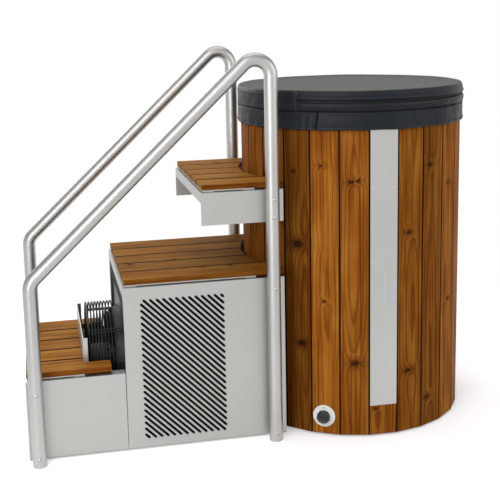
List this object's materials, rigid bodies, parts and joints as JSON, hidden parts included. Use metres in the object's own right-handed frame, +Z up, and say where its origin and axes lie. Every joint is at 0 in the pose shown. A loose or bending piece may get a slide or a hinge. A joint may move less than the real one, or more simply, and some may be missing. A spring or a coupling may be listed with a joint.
{
  "type": "cold plunge tub",
  "caption": "Round wood-clad cold plunge tub with a padded vinyl lid, a stainless stair with wood treads that houses the chiller, and bent tube handrails",
  "frame": {"origin": "centre of the tub's underside, on the floor", "axes": "+X to the right as the picture shows it, from the stair to the tub; +Y to the back; +Z up"},
  "size_m": [1.7734, 0.8956, 1.4618],
  "materials": {
    "thermowood": "oiled heat-treated boards with knots and open grain",
    "stainless": "brushed stainless sheet and polished tube",
    "vinyl": "charcoal coated vinyl with a soft sheen",
    "foam": "closed-cell foam, hidden",
    "liner": "smooth light grey moulding",
    "black_plastic": "matt black moulding",
    "black_wire": "black coated wire",
    "black_shell": "black painted shell",
    "fins": "bare fin pack",
    "filter": "black open-cell filter mat",
    "pipe": "grey water pipe"
  },
  "bodies": {
    "frame": {"tub_base": "black_plastic", "insulation_base": "foam", "insulation_jacket": "foam", "inner_shell": "liner", "stave_panel_1": "thermowood", "stave_panel_2": "thermowood", "stave_panel_3": "thermowood", "stave_panel_4": "thermowood", "stave_panel_5": "thermowood", "face_plate": "stainless", "drain_rose": "liner", "drain_spigot": "black_plastic", "lower_side_near": "stainless", "lower_side_far": "stainless", "lower_riser": "stainless", "mid_side_near": "stainless", "mid_side_far": "stainless", "mid_header": "stainless", "top_bracket": "stainless", "lower_bearer_front": "stainless", "lower_bearer_rear": "stainless", "mid_bearer_front": "stainless", "mid_bearer_rear": "stainless", "top_bearer_front": "stainless", "top_bearer_rear": "stainless", "lower_tray": "stainless", "mid_tray": "stainless", "top_tray": "stainless", "grille_filter": "filter", "lower_slat_1": "thermowood", "lower_slat_2": "thermowood", "lower_slat_3": "thermowood", "lower_slat_4": "thermowood", "lower_slat_5": "thermowood", "mid_slat_1": "thermowood", "mid_slat_2": "thermowood", "mid_slat_3": "thermowood", "mid_slat_4": "thermowood", "mid_slat_5": "thermowood", "top_slat_1": "thermowood", "top_slat_2": "thermowood", "top_slat_3": "thermowood", "top_slat_4": "thermowood", "top_slat_5": "thermowood", "rail_near": "stainless", "rail_far": "stainless", "fan_shield": "stainless", "fan_shroud": "black_plastic", "fan_guard": "black_wire", "fan_motor": "black_plastic", "chiller_tray": "stainless", "condenser": "fins", "compressor": "black_shell", "water_tank": "liner", "supply_pipe": "pipe", "return_pipe": "pipe"},
    "lid": {"lid_core": "foam", "lid_cover": "vinyl"},
    "drain_valve": {"drain_knob": "black_plastic"},
    "fan": {"fan_impeller": "black_plastic"}
  },
  "joints": [
    {"name": "lid_lift", "type": "slide", "parent": "frame", "child": "lid", "axis": [0, 0, 1], "range_m": [0, 0.5]},
    {"name": "drain_turn", "type": "hinge", "parent": "frame", "child": "drain_valve", "pos_m": [-0.22244, -0.37432, 0.079], "axis": [-0.497, -0.8678, 0], "range_deg": [0, 90]},
    {"name": "fan_spin", "type": "hinge", "parent": "frame", "child": "fan", "pos_m": [-0.99, 0, 0.269], "axis": [1, 0, 0], "continuous": true}
  ]
}
